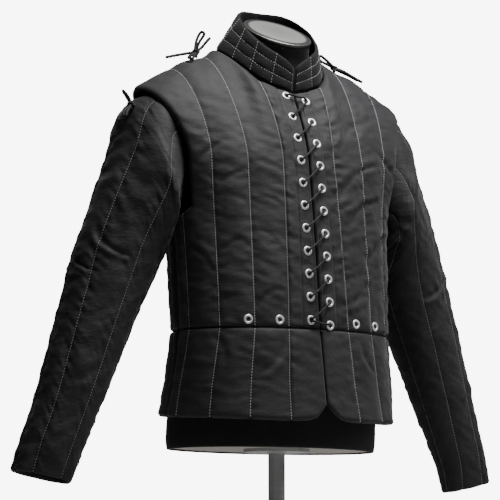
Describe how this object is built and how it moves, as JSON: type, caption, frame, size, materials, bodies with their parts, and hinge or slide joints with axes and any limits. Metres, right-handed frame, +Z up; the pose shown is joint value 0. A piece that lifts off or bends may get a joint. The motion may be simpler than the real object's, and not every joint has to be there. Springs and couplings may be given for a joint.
{
  "type": "gambeson on dress form",
  "caption": "Waist-length quilted arming jacket with laced front, stand collar, long hanging sleeves and short skirt, worn by a limbless dress form on a stand.",
  "frame": {"origin": "centre of the base plate's underside, on the floor", "axes": "+Z up, -Y towards the garment's front, +X towards the wearer's left"},
  "size_m": [0.923, 0.34, 1.144],
  "materials": {
    "black_quilted_cotton": "matt",
    "nickel_eyelet": "polished",
    "black_lace": "matt",
    "black_jersey": "matt",
    "brushed_metal": "brushed",
    "pale_board": "satin",
    "satin_steel": "satin"
  },
  "bodies": {
    "root": {"base_board": "pale_board", "bodice_back": "black_quilted_cotton", "bodice_front_left": "black_quilted_cotton", "bodice_front_right": "black_quilted_cotton", "collar": "black_quilted_cotton", "dress_form_body": "black_jersey", "eyelet_left_01": "nickel_eyelet", "eyelet_left_02": "nickel_eyelet", "eyelet_left_03": "nickel_eyelet", "eyelet_left_04": "nickel_eyelet", "eyelet_left_05": "nickel_eyelet", "eyelet_left_06": "nickel_eyelet", "eyelet_left_07": "nickel_eyelet", "eyelet_left_08": "nickel_eyelet", "eyelet_left_09": "nickel_eyelet", "eyelet_left_10": "nickel_eyelet", "eyelet_left_11": "nickel_eyelet", "eyelet_left_12": "nickel_eyelet", "eyelet_left_13": "nickel_eyelet", "eyelet_right_01": "nickel_eyelet", "eyelet_right_02": "nickel_eyelet", "eyelet_right_03": "nickel_eyelet", "eyelet_right_04": "nickel_eyelet", "eyelet_right_05": "nickel_eyelet", "eyelet_right_06": "nickel_eyelet", "eyelet_right_07": "nickel_eyelet", "eyelet_right_08": "nickel_eyelet", "eyelet_right_09": "nickel_eyelet", "eyelet_right_10": "nickel_eyelet", "eyelet_right_11": "nickel_eyelet", "eyelet_right_12": "nickel_eyelet", "eyelet_right_13": "nickel_eyelet", "front_lace": "black_lace", "neck_cap": "brushed_metal", "shoulder_bow_left_knot": "black_lace", "shoulder_bow_left_loop_down": "black_lace", "shoulder_bow_left_loop_up": "black_lace", "shoulder_bow_left_tail_side": "black_lace", "shoulder_bow_left_tail_up": "black_lace", "shoulder_bow_right_knot": "black_lace", "shoulder_bow_right_loop_down": "black_lace", "shoulder_bow_right_loop_up": "black_lace", "shoulder_bow_right_tail_side": "black_lace", "shoulder_bow_right_tail_up": "black_lace", "skirt_back": "black_quilted_cotton", "skirt_front_left": "black_quilted_cotton", "skirt_front_right": "black_quilted_cotton", "sleeve_bow_right_knot": "black_lace", "sleeve_bow_right_loop_down": "black_lace", "sleeve_bow_right_loop_up": "black_lace", "sleeve_left": "black_quilted_cotton", "sleeve_right": "black_quilted_cotton", "stand_base_plate": "satin_steel", "stand_pole": "satin_steel"}
  },
  "joints": []
}
